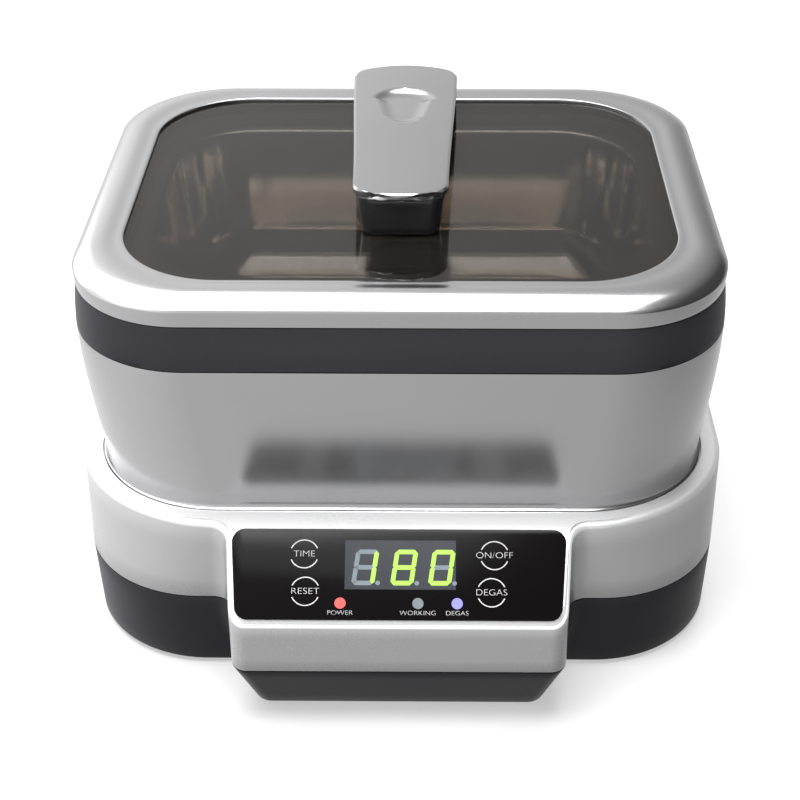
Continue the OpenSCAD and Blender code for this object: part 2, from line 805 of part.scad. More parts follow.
module handle_cover() {
    leg = crest_z + 0.1;
    rear_z = handle_rear_h;
    rear_leg = [[80.5, leg], [92, leg]];
    top = [[92, rear_z - 2.2], [90.8, rear_z - 0.6], [88, rear_z + 0.1], [-44.5, handle_h],
           [-46.4, handle_h - 0.5], [-47.5, handle_h - 1.4]];
    color("silver") placed() difference() {
        intersection() {
            translate([0, 0, 140]) linear_extrude(40) handle_plan();
            handle_side(concat(rear_leg, top));
        }
        hull() {
            translate([0, 49.5, 165.4]) cylinder(d1 = 15, d2 = 27, h = 3.4);
            translate([0, 29.4, 166.3]) cylinder(d1 = 5, d2 = 15, h = 3.4);
        }
    }
}

module handle_screws() {
    color("gainsboro") placed() for (y = handle_screw_ys)
        translate([0, y, glass_z]) screw(8, 2.2, 3, 11);
}

base_upper_shell();
base_lower_shell();
rubber_feet();
base_screws();
panel_overlay();
display_module();
indicator_leds();
touch_pads();
control_board();
ribbon_cable();
driver_board();
board_screws();
transformer_core();
transformer_winding();
heatsink();
power_transistors();
filter_capacitors();
output_coil();
fuse();
power_inlet();
inlet_pins();
inlet_screws();
power_wires();
base_socket();
socket_wires();
tank_housing();
tank_collar();
steel_tank();
tank_gasket();
piezo_discs();
transducer_leads();
tank_plug();
plug_pins();
tank_bottom_cover();
cover_screws();
lid_frame();
lid_window();
window_retainer();
retainer_screws();
handle_base();
handle_cover();
handle_screws();
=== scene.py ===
"""Looks of the bench ultrasonic cleaner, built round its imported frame.

Shapes are worked out in millimetres from the tank's axis and the base's underside, and
placed in the row frame in metres by place().
"""
import json
import math

import bmesh
import bpy
from mathutils import Matrix, Vector


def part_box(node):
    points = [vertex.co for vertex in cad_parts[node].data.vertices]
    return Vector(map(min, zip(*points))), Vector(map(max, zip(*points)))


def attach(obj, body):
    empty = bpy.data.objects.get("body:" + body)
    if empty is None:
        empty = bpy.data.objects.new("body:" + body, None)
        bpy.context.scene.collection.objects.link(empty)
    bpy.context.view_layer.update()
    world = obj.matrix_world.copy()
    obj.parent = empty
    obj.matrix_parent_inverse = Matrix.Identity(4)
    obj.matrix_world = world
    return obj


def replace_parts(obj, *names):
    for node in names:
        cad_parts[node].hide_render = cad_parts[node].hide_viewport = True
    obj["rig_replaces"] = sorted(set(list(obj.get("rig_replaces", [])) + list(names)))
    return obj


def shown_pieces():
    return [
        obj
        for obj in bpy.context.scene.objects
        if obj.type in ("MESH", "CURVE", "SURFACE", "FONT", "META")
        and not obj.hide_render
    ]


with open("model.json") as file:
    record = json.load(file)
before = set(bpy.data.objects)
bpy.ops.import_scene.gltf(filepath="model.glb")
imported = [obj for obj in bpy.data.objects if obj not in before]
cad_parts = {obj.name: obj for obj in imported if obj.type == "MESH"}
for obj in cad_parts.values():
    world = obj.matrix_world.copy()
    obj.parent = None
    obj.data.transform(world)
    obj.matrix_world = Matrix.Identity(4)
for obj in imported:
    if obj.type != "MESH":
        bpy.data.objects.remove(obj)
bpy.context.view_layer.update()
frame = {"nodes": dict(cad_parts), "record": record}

MM = 0.001

# ---------------------------------------------------------------- places from the frame

shell_low, shell_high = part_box("base_lower_shell")
upper_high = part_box("base_upper_shell")[1]
collar_low, collar_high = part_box("tank_collar")
AXIS_Y = (collar_low.y + collar_high.y) / 2 / MM
BENCH = shell_low.z / MM


def design(corner):
    """A frame corner in design millimetres."""
    return Vector((corner.x / MM, corner.y / MM - AXIS_Y, corner.z / MM - BENCH))


def place(x, y, z):
    """Design millimetres to metres in the row frame."""
    return (x * MM, (y + AXIS_Y) * MM, (z + BENCH) * MM)


def level(a, b, r):
    """Half width, half depth and corner radius of an outline."""
    return Vector((a, b, r))


JOINT_SPREAD = 1.0  # added to the base's half depth at its joint line
HALF_W = design(upper_high).x
HALF_D = design(upper_high).y - JOINT_SPREAD
BASE_R = 58.0
TANK_A = design(collar_high).x
TANK_B = design(collar_high).y

SPLIT_H = design(shell_high).z
BLOCK_SPLIT_H = 23.0
BASE_H = design(upper_high).z
WELL_H = 60.0
RABBET_H = 64.4
WAIST_H = 71.0
COLLAR_SKIRT = 5.0  # how far the collar reaches down inside the housing
COLLAR_LOW = design(collar_low).z + COLLAR_SKIRT
COLLAR_TOP = design(collar_high).z

WALL = 2.5
JOINT_GAP = 0.16
JOINT_EDGE = 0.35  # height of the rounded edges at the joint line
DECK_FALL = -0.35  # the deck's outer edge against its seam

# Outlines of the base, the tank unit, the lid and the basin
BASE_LOW = level(HALF_W - 2.3, HALF_D - 0.6, BASE_R - 10.1)
BASE_JOINT = level(HALF_W - 1.8, HALF_D + JOINT_SPREAD, BASE_R - 11.0)
BASE_MID = BASE_LOW.lerp(BASE_JOINT, BLOCK_SPLIT_H / SPLIT_H)
BASE_TOP = level(HALF_W, HALF_D, BASE_R)
RABBET = level(HALF_W - 7.5, HALF_D - 7.5, BASE_R - 8.6)
TRAY = level(HALF_W - 12.9, HALF_D - 12.5, BASE_R - 13.0)
WAIST = level(TANK_A - 2.4, TANK_B - 7.6, 47.5)
BELLY = level(TANK_A - 0.4, TANK_B - 3.8, 46.0)
WIDEST = level(TANK_A, TANK_B, 44.0)
LID_RIM = level(TANK_A - 0.8, TANK_B - 4.0, 42.0)
WINDOW = level(100.6, 80.1, 37.5)
MOUTH = level(93.0, 63.5, 32.0)

# Control block and its panel
BLOCK_REACH = -design(shell_low).y
BLOCK_HALF_W = 60.5
BLOCK_NARROWING = 7.5  # each side, down to the bench
BLOCK_SETBACK = 8.5
BLOCK_SIDE = math.radians(5)
BLOCK_LEAN = math.radians(3)
BLOCK_CORNER_R = 6.0
BLOCK_FILLET_R = 7.5
PANEL_Y = -106.2
PANEL_Z = 66.7
PANEL_TILT = math.radians(40)
PANEL_T = 1.6
PANEL_LEN = 33.0
PANEL_HALF_TOP = 60.3
PANEL_HALF_LOW = 58.6
PANEL_R = 4.6

# Fittings in the base shells
FIT_GAP = 0.2
INLET_FLANGE_T = 2.3
INLET_BODY_HALF_W = 14.2
INLET_BODY_HALF_H = 10.2
SCREW_X = 98
SCREW_Y = 70
SCREW_BORE_R = 3.7

# ---------------------------------------------------------------- mesh helpers


SHARP = math.radians(32)


def add_object(name, data):
    """A new object in the scene, from mesh, curve, light or camera data."""
    obj = bpy.data.objects.new(name, data)
    bpy.context.scene.collection.objects.link(obj)
    return obj


def make_object(name, verts, faces):
    """A smooth-shaded mesh object from design millimetres."""
    mesh = bpy.data.meshes.new(name)
    mesh.from_pydata([place(*v) for v in verts], [], faces)
    bm = bmesh.new()
    bm.from_mesh(mesh)
    bmesh.ops.remove_doubles(bm, verts=bm.verts, dist=1e-7)
    bmesh.ops.recalc_face_normals(bm, faces=bm.faces)
    bm.to_mesh(mesh)
    bm.free()
    mesh.shade_smooth()
    mesh.set_sharp_from_angle(angle=SHARP)
    return add_object(name, mesh)


def loft(name, rings, closed=False, floor_ring=None):
    """Skin a stack of rings; closed rings run round a cross-section, others are capped.

    In a closed stack, floor_ring and the ring after it are capped, with no wall between.
    """
    count = len(rings[0])
    verts = [v for row in rings for v in row]
    faces = []
    for k in range(len(rings) if closed else len(rings) - 1):
        if k == floor_ring:
            continue
        low, high = k * count, (k + 1) % len(rings) * count
        for i in range(count):
            j = (i + 1) % count
            faces.append((low + i, low + j, high + j, high + i))
    if not closed:
        faces.append(tuple(reversed(range(count))))
        faces.append(tuple(range((len(rings) - 1) * count, len(rings) * count)))
    elif floor_ring is not None:
        start = floor_ring * count
        faces.append(tuple(range(start, start + count)))
        faces.append(tuple(reversed(range(start + count, start + 2 * count))))
    return make_object(name, verts, faces)


def arc(cx, cy, r, start, end, steps):
    """Points on a circle from one angle to another, in degrees."""
    points = []
    for i in range(steps + 1):
        t = math.radians(start + (end - start) * i / steps)
        points.append((cx + r * math.cos(t), cy + r * math.sin(t)))
    return points


def between(p, q, count):
    """Points strictly between two points."""
    return [(p[0] + (q[0] - p[0]) * i / (count + 1), p[1] + (q[1] - p[1]) * i / (count + 1))
            for i in range(1, count + 1)]


def rounded_rect(a, b, r, steps=28, runs=6):
    """Rounded rectangle, counter-clockwise, with points along its straight runs."""
    corners = [arc(a - r, b - r, r, 0, 90, steps), arc(r - a, b - r, r, 90, 180, steps),
               arc(r - a, r - b, r, 180, 270, steps), arc(a - r, r - b, r, 270, 360, steps)]
    points = []
    for k, corner in enumerate(corners):
        points += corner
        points += between(corner[-1], corners[(k + 1) % 4][0], runs)
    return points


def inward(size, distance):
    """A level moved in by the same distance all round."""
    return size - Vector((distance, distance, distance))


def ring(size, z, inset=0.0, mid_y=0.0):
    """Rounded rectangle of a level, moved in by an inset, at a height."""
    a, b, r = inward(size, inset)
    return [(x, y + mid_y, z) for x, y in rounded_rect(a, b, r)]


def smoothstep(t):
    """Rises smoothly from 0 to 1 while t does, and is level outside that."""
    t = min(max(t, 0.0), 1.0)
    return t * t * (3 - 2 * t)


def cut(target, cutter):
    """Cuts one object out of another and removes the cutter."""
    modifier = target.modifiers.new("cut", "BOOLEAN")
    modifier.operation = "DIFFERENCE"
    modifier.solver = "EXACT"
    modifier.object = cutter
    graph = bpy.context.evaluated_depsgraph_get()
    mesh = bpy.data.meshes.new_from_object(target.evaluated_get(graph))
    target.modifiers.clear()
    target.data = mesh
    mesh.name = target.name
    bpy.data.objects.remove(cutter)
    mesh.shade_smooth()
    mesh.set_sharp_from_angle(angle=SHARP)


def box_cutter(name, low, high):
    """Box between two design corners."""
    corners = [(low[0], low[1]), (high[0], low[1]), (high[0], high[1]), (low[0], high[1])]
    return loft(name, [[(x, y, z) for x, y in corners] for z in (low[2], high[2])])


def finish_piece(obj, body, slot, mat, *nodes):
    """Gives a piece its material and body, and the CAD parts that it replaces; the slot is not
    used.
    """
    obj.data.materials.clear()
    obj.data.materials.append(mat)
    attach(obj, body)
    if nodes:
        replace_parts(obj, *nodes)
    return obj

# ---------------------------------------------------------------- materials


def material(name, color, metallic=0.0, roughness=0.5, grain=0.0, grain_scale=900.0,
             bump=0.0, rough_spread=0.06, tint=0.06, wear=0.0, coat=0.0, coat_roughness=0.1,
             stretch=(1, 1, 1), **extra):
    """Principled surface whose colour, roughness and height vary with a fine grain."""
    mat = bpy.data.materials.new(name)
    mat.use_nodes = True
    nodes, links = mat.node_tree.nodes, mat.node_tree.links
    shader = nodes["Principled BSDF"]
    shader.inputs["Metallic"].default_value = metallic
    shader.inputs["Coat Weight"].default_value = coat
    shader.inputs["Coat Roughness"].default_value = coat_roughness
    for key, value in extra.items():
        shader.inputs[key.replace("_", " ").title().replace("Ior", "IOR")].default_value = value
    where = nodes.new("ShaderNodeTexCoord")
    mapping = nodes.new("ShaderNodeMapping")
    mapping.inputs["Scale"].default_value = stretch
    links.new(where.outputs["Object"], mapping.inputs["Vector"])

    def noise(scale, detail):
        tex = nodes.new("ShaderNodeTexNoise")
        tex.inputs["Scale"].default_value = scale
        tex.inputs["Detail"].default_value = detail
        links.new(mapping.outputs["Vector"], tex.inputs["Vector"])
        return tex.outputs["Fac"]

    def spread(source, low, high):
        node = nodes.new("ShaderNodeMapRange")
        node.inputs["From Min"].default_value = 0.3
        node.inputs["From Max"].default_value = 0.7
        node.inputs["To Min"].default_value = low
        node.inputs["To Max"].default_value = high
        links.new(source, node.inputs["Value"])
        return node.outputs["Result"]

    fine = noise(grain_scale, 2.0)
    broad = noise(14.0, 3.0)
    shade = nodes.new("ShaderNodeMix")
    shade.data_type = "RGBA"
    shade.blend_type = "MULTIPLY"
    shade.inputs["Factor"].default_value = 1.0
    shade.inputs["A"].default_value = (*color, 1.0)
    value = nodes.new("ShaderNodeMath")
    value.operation = "MULTIPLY"
    links.new(spread(fine, 1 - grain, 1 + grain), value.inputs[0])
    links.new(spread(broad, 1 - tint, 1 + tint), value.inputs[1])
    links.new(value.outputs["Value"], shade.inputs["B"])
    base = shade.outputs["Result"]
    if wear:
        geometry = nodes.new("ShaderNodeNewGeometry")
        edge = nodes.new("ShaderNodeMapRange")
        edge.inputs["From Min"].default_value = 0.54
        edge.inputs["From Max"].default_value = 0.62
        edge.inputs["To Max"].default_value = wear
        links.new(geometry.outputs["Pointiness"], edge.inputs["Value"])
        worn = nodes.new("ShaderNodeMix")
        worn.data_type = "RGBA"
        links.new(edge.outputs["Result"], worn.inputs["Factor"])
        links.new(base, worn.inputs["A"])
        worn.inputs["B"].default_value = (*[min(1.0, c * 1.5 + 0.05) for c in color], 1.0)
        base = worn.outputs["Result"]
    links.new(base, shader.inputs["Base Color"])
    rough = nodes.new("ShaderNodeMath")
    rough.operation = "ADD"
    links.new(spread(broad, roughness - rough_spread / 2, roughness + rough_spread / 2),
              rough.inputs[0])
    links.new(spread(fine, -rough_spread / 3, rough_spread / 3), rough.inputs[1])
    links.new(rough.outputs["Value"], shader.inputs["Roughness"])
    if bump:
        relief = nodes.new("ShaderNodeBump")
        relief.inputs["Strength"].default_value = bump
        relief.inputs["Distance"].default_value = 0.0002
        links.new(fine, relief.inputs["Height"])
        links.new(relief.outputs["Normal"], shader.inputs["Normal"])
    return mat


SILVER = material("silver_paint", (0.38, 0.38, 0.385), metallic=1.0, roughness=0.18,
                  grain=0.05, grain_scale=5200, bump=0.04, rough_spread=0.03, tint=0.012)
# Painted light: a lighter, more diffuse copy of the silver paint for the base, so that the top
# light renders the base's top ring white while the housing, in the same paint, stays grey.
LIT_COPY_BASE_SILVER = material("base_silver_lit_copy", (0.5, 0.5, 0.505), metallic=0.3, roughness=0.28,
                       grain=0.05, grain_scale=5200, bump=0.04, rough_spread=0.03, tint=0.012)
GRIP_SILVER = material("grip_silver", (0.31, 0.31, 0.315), metallic=1.0, roughness=0.2,
                       grain=0.06, grain_scale=5200, bump=0.05, rough_spread=0.04, tint=0.015)
DARK_MOULDING = dict(color=(0.028, 0.027, 0.032), roughness=0.42, grain=0.08, grain_scale=3000,
                     bump=0.1, rough_spread=0.05, tint=0.04, specular_ior_level=0.14)
CHARCOAL = material("charcoal_shell", **DARK_MOULDING)
COLLAR = material("charcoal_collar", **DARK_MOULDING)
PANEL = material("panel_black", (0.002, 0.0016, 0.0018), roughness=0.16, grain=0.04,
                 grain_scale=1500, rough_spread=0.03, specular_ior_level=0.06)
HANDLE_BLACK = material("handle_black", (0.012, 0.012, 0.013), roughness=0.16, grain=0.05,
                        grain_scale=1800, bump=0.02, rough_spread=0.05, coat=0.4,
                        coat_roughness=0.05)
STEEL = material("tank_steel", (0.74, 0.66, 0.57), metallic=1.0, roughness=0.1, grain=0.02,
                 grain_scale=2600, rough_spread=0.04, tint=0.03)
SMOKED = material("smoked_glass", (0.004, 0.0035, 0.003), roughness=0.04, grain=0.01,
                  grain_scale=9000, rough_spread=0.02, tint=0.1, specular_ior_level=0.25,
                  alpha=0.7)

# Finishes of the CAD parts that stay in view, by the record's material slot
FINISHES = {
    "foot_rubber": dict(color=(0.018, 0.018, 0.019), roughness=0.8, grain=0.12, bump=0.3),
    "screw_steel": dict(color=(0.55, 0.56, 0.58), metallic=1.0, roughness=0.3, bump=0.05,
                        grain=0.06, wear=0.4, stretch=(1, 1, 6)),
    "display_dark": dict(color=(0.02, 0.025, 0.03), roughness=0.3, grain=0.06),
    "led_lens": dict(color=(0.75, 0.75, 0.77), roughness=0.25, grain=0.03, coat=0.5),
    "foam": dict(color=(0.045, 0.045, 0.045), roughness=0.9, grain=0.2, bump=0.4),
    "circuit_board": dict(color=(0.015, 0.11, 0.045), roughness=0.32, grain=0.12,
                          grain_scale=600, bump=0.08, coat=0.3),
    "ribbon": dict(color=(0.5, 0.5, 0.51), roughness=0.5, grain=0.12, grain_scale=800,
                   stretch=(8, 1, 1), bump=0.2),
    "ferrite": dict(color=(0.045, 0.045, 0.05), roughness=0.7, grain=0.15, bump=0.35),
    "winding_tape": dict(color=(0.55, 0.36, 0.045), roughness=0.3, grain=0.08, coat=0.4,
                         stretch=(1, 1, 4)),
    "copper_wire": dict(color=(0.6, 0.24, 0.08), metallic=0.9, roughness=0.3, grain=0.1,
                        grain_scale=700, stretch=(1, 1, 8), bump=0.3),
    "heatsink_metal": dict(color=(0.55, 0.56, 0.57), metallic=1.0, roughness=0.38, grain=0.06,
                           stretch=(6, 1, 1), bump=0.1),
    "component_black": dict(color=(0.025, 0.025, 0.028), roughness=0.5, grain=0.1, bump=0.15),
    "capacitor_sleeve": dict(color=(0.03, 0.07, 0.22), roughness=0.28, grain=0.05, coat=0.3),
    "fuse_glass": dict(color=(0.75, 0.78, 0.8), roughness=0.08, grain=0.03),
    "inlet_plastic": dict(color=(0.018, 0.018, 0.02), roughness=0.45, grain=0.1, bump=0.2,
                          wear=0.3),
    "contact_metal": dict(color=(0.7, 0.52, 0.22), metallic=1.0, roughness=0.25, grain=0.05),
    "pin_metal": dict(color=(0.68, 0.68, 0.7), metallic=1.0, roughness=0.2, grain=0.05,
                      wear=0.3),
    "wire_red": dict(color=(0.35, 0.03, 0.025), roughness=0.5, grain=0.06, bump=0.1),
    "wire_brown": dict(color=(0.16, 0.06, 0.035), roughness=0.5, grain=0.06, bump=0.1),
    "silicone": dict(color=(0.66, 0.65, 0.62), roughness=0.6, grain=0.05, bump=0.1),
    "piezo_ceramic": dict(color=(0.3, 0.27, 0.2), roughness=0.6, grain=0.12, bump=0.2),
    "cover_charcoal": dict(color=(0.04, 0.04, 0.045), roughness=0.5, grain=0.1,
                           grain_scale=2600, bump=0.25, rough_spread=0.08),
    "retainer_black": dict(color=(0.025, 0.025, 0.027), roughness=0.5, grain=0.1, bump=0.15),
}


def dress_cad_parts(hidden):
    """Gives every CAD part that isn't hidden behind a piece the finish of its slot."""
    finishes = {slot: material(slot, **look) for slot, look in FINISHES.items()}
    for part in frame["record"]["subparts"]:
        if part["node"] in hidden:
            continue
        for holder in frame["nodes"][part["node"]].material_slots:
            holder.material = finishes[part["material_slot"]]

# ---------------------------------------------------------------- base


# Steps and points in each stretch of the base outline's right half
BLOCK_CORNER_STEPS = 10
HOLLOW_STEPS = 14
CORNER_STEPS = 30
BLOCK_SIDE_POINTS = 18
SIDE_POINTS = 6
END_POINTS = 8


def body_side(a, b, r, front_corner):
    """Half outline of the body, from its front corner round to the middle of the rear."""
    rear_corner = arc(a - r, b - r, r, 0, 90, CORNER_STEPS)
    rear_run = [((a - r) * (1 - (i + 0.5) / END_POINTS), b) for i in range(END_POINTS)]
    return (front_corner + between(front_corner[-1], rear_corner[0], SIDE_POINTS)
            + rear_corner + rear_run)


def base_half(a, b, r, w, front, inset=0.0):
    """Right half of the base outline, from the middle of the front round to the rear."""
    a, b, r = a - inset, b - inset, r - inset
    rc, rf = max(BLOCK_CORNER_R - inset, 0.4), BLOCK_FILLET_R + inset
    front = front + inset
    normal = Vector((math.cos(BLOCK_SIDE), -math.sin(BLOCK_SIDE)))
    along = Vector((math.sin(BLOCK_SIDE), math.cos(BLOCK_SIDE)))
    reach = normal.dot(Vector((w, front - inset))) - inset
    cy = front + rc
    cx = (reach - rc + cy * math.sin(BLOCK_SIDE)) / math.cos(BLOCK_SIDE)
    corner = Vector((a - r, r - b))
    q = normal * (reach + rf) - corner
    step = -q.dot(along) - math.sqrt(q.dot(along) ** 2 - q.dot(q) + (r + rf) ** 2)
    fillet = normal * (reach + rf) + along * step
    turn = math.degrees(math.atan2(fillet.y - corner.y, fillet.x - corner.x))
    if fillet.x <= corner.x:
        fillet = Vector(((reach + rf - (b + rf) * math.sin(BLOCK_SIDE))
                         / math.cos(BLOCK_SIDE), -b - rf))
        turn = -90.0
    side = math.degrees(BLOCK_SIDE)
    block_corner = arc(cx, cy, rc, -90, -side, BLOCK_CORNER_STEPS)
    hollow = arc(fillet.x, fillet.y, rf, 180 - side, turn + 180, HOLLOW_STEPS)
    front_corner = arc(corner.x, corner.y, r, turn, 0, CORNER_STEPS)
    front_run = [(cx * (i + 0.5) / END_POINTS, front) for i in range(END_POINTS)]
    return (front_run + block_corner
            + between(block_corner[-1], hollow[0], BLOCK_SIDE_POINTS) + hollow
            + between(hollow[-1], front_corner[0], 1) + body_side(a, b, r, front_corner))


def mirrored(half):
    """A half outline with its mirror image on the left, walked back to the start."""
    return half + [(-x, y) for x, y in reversed(half)]


def front_at(z):
    """Front face of the control block, which leans back above its joint line."""
    return math.tan(BLOCK_LEAN) * (z - BLOCK_SPLIT_H) - BLOCK_REACH


# Width and height of the rounded rim, on the body and on the control block
BODY_RIM = (2.4, 1.9)
BLOCK_RIM = (1.0, 0.8)

# Height, body outline, half width of the control block and its front
LEVELS = [(0.0, *BASE_LOW, BLOCK_HALF_W - BLOCK_NARROWING, BLOCK_SETBACK - BLOCK_REACH),
          (BLOCK_SPLIT_H, *BASE_MID, BLOCK_HALF_W, -BLOCK_REACH),
          (SPLIT_H, *BASE_JOINT, BLOCK_HALF_W, front_at(SPLIT_H)),
          (BASE_H - BODY_RIM[1], *BASE_TOP, BLOCK_HALF_W, front_at(BASE_H)),
          (BASE_H + 5, *BASE_TOP, BLOCK_HALF_W, front_at(BASE_H))]
outline_cache = {}


def outline_at(z, inset=0.0):
    """The base outline at a height, moved in by an inset."""
    key = (round(z, 2), round(inset, 2))
    if key not in outline_cache:
        z = key[0]
        k = max(i for i in range(len(LEVELS) - 1) if i == 0 or LEVELS[i][0] <= z)
        low, high = LEVELS[k], LEVELS[k + 1]
        t = (z - low[0]) / (high[0] - low[0])
        sizes = [p + (q - p) * t for p, q in zip(low[1:], high[1:])]
        outline_cache[key] = mirrored(base_half(*sizes, inset=key[1]))
    return outline_cache[key]


CREASE = 1.6
JOINT_STEP_Y, JOINT_STEP_LEN = -126.0, 13.0
RIM_STEP_Y, RIM_STEP_LEN = -112.0, 9.0


def panel_plane(y):
    """Height of the slope that the panel lies in."""
    return PANEL_Z + (y - PANEL_Y) * math.tan(PANEL_TILT)


def top_height(y):
    """Height of the base's top: level, then down the slope, with a soft crease."""
    gap = (panel_plane(y) - BASE_H) / CREASE
    if gap > 8:
        return BASE_H
    return BASE_H - CREASE * math.log(1 + math.exp(-gap))


def joint_height(y):
    """Height of the joint line, which steps down along the control block's sides."""
    t = min(max((y - JOINT_STEP_Y) / JOINT_STEP_LEN, 0.0), 1.0)
    return BLOCK_SPLIT_H + (SPLIT_H - BLOCK_SPLIT_H) * (1 - math.cos(math.pi * t)) / 2


def rim_size(y):
    """Width and height of the rounded rim: wide on the body, small on the block."""
    t = smoothstep((y - RIM_STEP_Y) / RIM_STEP_LEN)
    return tuple(small + (large - small) * t for small, large in zip(BLOCK_RIM, BODY_RIM))


def wall_ring(height, inset=0.0):
    """A ring of the base wall. Height and inset are numbers, or functions of the depth y."""
    height_of = height if callable(height) else lambda y: height
    inset_of = inset if callable(inset) else lambda y: inset
    points = []
    for i, (_, guide_y) in enumerate(outline_at(SPLIT_H)):
        z = height_of(guide_y)
        x, y = outline_at(z, inset_of(guide_y))[i]
        points.append((x, y, z))
    return points


def joint_ring(rise, inset=0.0):
    """A ring that follows the joint line at a distance above it."""
    return wall_ring(lambda y: joint_height(y) + rise, inset)


def seam_ring(size, z, inset=0.0):
    """A ring with the base outline's point order, for joining the top to the well.

    The points that the base outline has round the control block lie along the front.
    """
    a, b, r = inward(size, inset)
    side = body_side(a, b, r, arc(a - r, r - b, r, -90, 0, CORNER_STEPS))
    guide = outline_at(SPLIT_H)
    block_points = len(guide) // 2 - len(side) - 1
    lengths = [0.0]
    for p, q in zip(guide[:block_points], guide[1:block_points + 1]):
        lengths.append(lengths[-1] + math.dist(p, q))
    reach = a - r
    front_run = [(reach * (0.02 + 0.96 * length / lengths[-1]), -b) for length in lengths[:-1]]
    half = front_run + [(reach * 0.99, -b)] + side
    return [(x, y, z) for x, y in mirrored(half)]


def panel_point(u, v, h=0.0):
    """A point by its place on the panel: u across, v up the slope, h outwards."""
    c, s = math.cos(PANEL_TILT), math.sin(PANEL_TILT)
    return (u, PANEL_Y + v * c - h * s, PANEL_Z + v * s + h * c)


def panel_outline(grow=0.0):
    """Plan of the overlay in panel coordinates, counter-clockwise from its lower right."""
    r = PANEL_R + grow
    low, top = PANEL_R - PANEL_LEN, -PANEL_R
    lean = math.degrees(math.atan2(PANEL_HALF_TOP - PANEL_HALF_LOW, PANEL_LEN))
    return (arc(PANEL_HALF_LOW - PANEL_R, low, r, -90, -lean, 10)
            + arc(PANEL_HALF_TOP - PANEL_R, top, r, -lean, 90, 10)
            + arc(PANEL_R - PANEL_HALF_TOP, top, r, 90, 180 + lean, 10)
            + arc(PANEL_R - PANEL_HALF_LOW, low, r, 180 + lean, 270, 10))


def deck_rings(outer, seam, steps=30):
    """Rings across the deck, between the rim and the seam round the tank unit."""
    rings = []
    for step in range(1, steps):
        t = step / steps
        row = []
        for p, q in zip(outer, seam):
            x, y = p[0] + (q[0] - p[0]) * t, p[1] + (q[1] - p[1]) * t
            row.append((x, y, top_height(y) + DECK_FALL * (1 - t)))
        rings.append(row)
    return rings


def cut_openings(shell):
    """Cuts the panel's recess, the socket's hole and the inlet's seat and hole."""
    outline = panel_outline(0.12)
    cut(shell, loft("recess", [[panel_point(u, v, h) for u, v in outline]
                               for h in (-PANEL_T, 4)]))
    low, high = (design(corner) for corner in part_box("base_socket"))
    cut(shell, box_cutter("socket_hole", (low.x - FIT_GAP, low.y - FIT_GAP, WELL_H - 8),
                          (high.x + FIT_GAP, high.y + FIT_GAP, WELL_H + 4)))
    low, high = (design(corner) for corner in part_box("power_inlet"))
    cut(shell, box_cutter("inlet_seat",
                          (low.x - FIT_GAP, high.y - INLET_FLANGE_T, low.z - FIT_GAP),
                          (high.x + FIT_GAP, high.y + 10, high.z + FIT_GAP)))
    middle = (low.z + high.z) / 2
    cut(shell, box_cutter("inlet_hole",
                          (-INLET_BODY_HALF_W, HALF_D - 12, middle - INLET_BODY_HALF_H),
                          (INLET_BODY_HALF_W, HALF_D + 10, middle + INLET_BODY_HALF_H)))


def build_upper_shell():
    def rim_start(y):
        return top_height(y) - rim_size(y)[1]

    rings = [joint_ring(JOINT_GAP, 0.5), joint_ring(JOINT_GAP + 0.05, 0.12),
             joint_ring(JOINT_GAP + JOINT_EDGE)]
    for t in (0.25, 0.5, 0.75):
        rings.append(wall_ring(lambda y: joint_height(y) + 0.5
                               + (rim_start(y) - joint_height(y) - 0.5) * t))
    for step in range(7):
        t = math.pi / 2 * step / 6
        rings.append(wall_ring(
            lambda y: rim_start(y) + rim_size(y)[1] * math.sin(t) ** 1.3 + DECK_FALL,
            lambda y: rim_size(y)[0] * (1 - math.cos(t)) ** 0.9))
    seam = seam_ring(RABBET, BASE_H, -0.4)
    rings += deck_rings(rings[-1], seam)
    rings += [seam, seam_ring(RABBET, BASE_H - 0.12, -0.1), seam_ring(RABBET, BASE_H - 0.4),
              seam_ring(RABBET, RABBET_H), seam_ring(TRAY, RABBET_H), seam_ring(TRAY, WELL_H + 1),
              seam_ring(TRAY, WELL_H, 1)]
    well_floor = len(rings) - 1
    rings += [seam_ring(TRAY, WELL_H - WALL, 1), seam_ring(TRAY, WELL_H - WALL, -WALL),
              seam_ring(TRAY, RABBET_H - WALL, -WALL), seam_ring(RABBET, RABBET_H - WALL, -WALL),
              seam_ring(RABBET, BASE_H - WALL, -WALL),
              wall_ring(lambda y: top_height(y) - 3.4, WALL + 1.2),
              joint_ring(6, WALL), joint_ring(JOINT_GAP, WALL)]
    shell = loft("upper_shell", rings, closed=True, floor_ring=well_floor)
    cut_openings(shell)
    # The base takes the lighter copy of the silver paint, painted light for its white top ring.
    return finish_piece(shell, "base", "silver_paint", LIT_COPY_BASE_SILVER, "base_upper_shell")


def build_lower_shell():
    foot_edge = 1.3
    rings = [wall_ring(0.0, 1.5), wall_ring(0.15, 0.8), wall_ring(0.6, 0.25),
             wall_ring(foot_edge)]
    for t in (0.2, 0.4, 0.6, 0.8, 1.0):
        rings.append(wall_ring(lambda y: foot_edge + (joint_height(y) - JOINT_GAP
                                                      - JOINT_EDGE - foot_edge) * t))
    rings += [joint_ring(-JOINT_GAP - 0.05, 0.12), joint_ring(-JOINT_GAP, 0.5),
              joint_ring(-JOINT_GAP, WALL), wall_ring(3.0, WALL)]
    shell = loft("lower_shell", rings)
    for x in (-SCREW_X, SCREW_X):
        for y in (-SCREW_Y, SCREW_Y):
            bore = arc(x, y, SCREW_BORE_R, 0, 345, 23)
            cut(shell, loft("bore", [[(u, v, z) for u, v in bore] for z in (-2, 5)]))
    return finish_piece(shell, "base", "charcoal_shell", CHARCOAL, "base_lower_shell")

# ---------------------------------------------------------------- tank unit


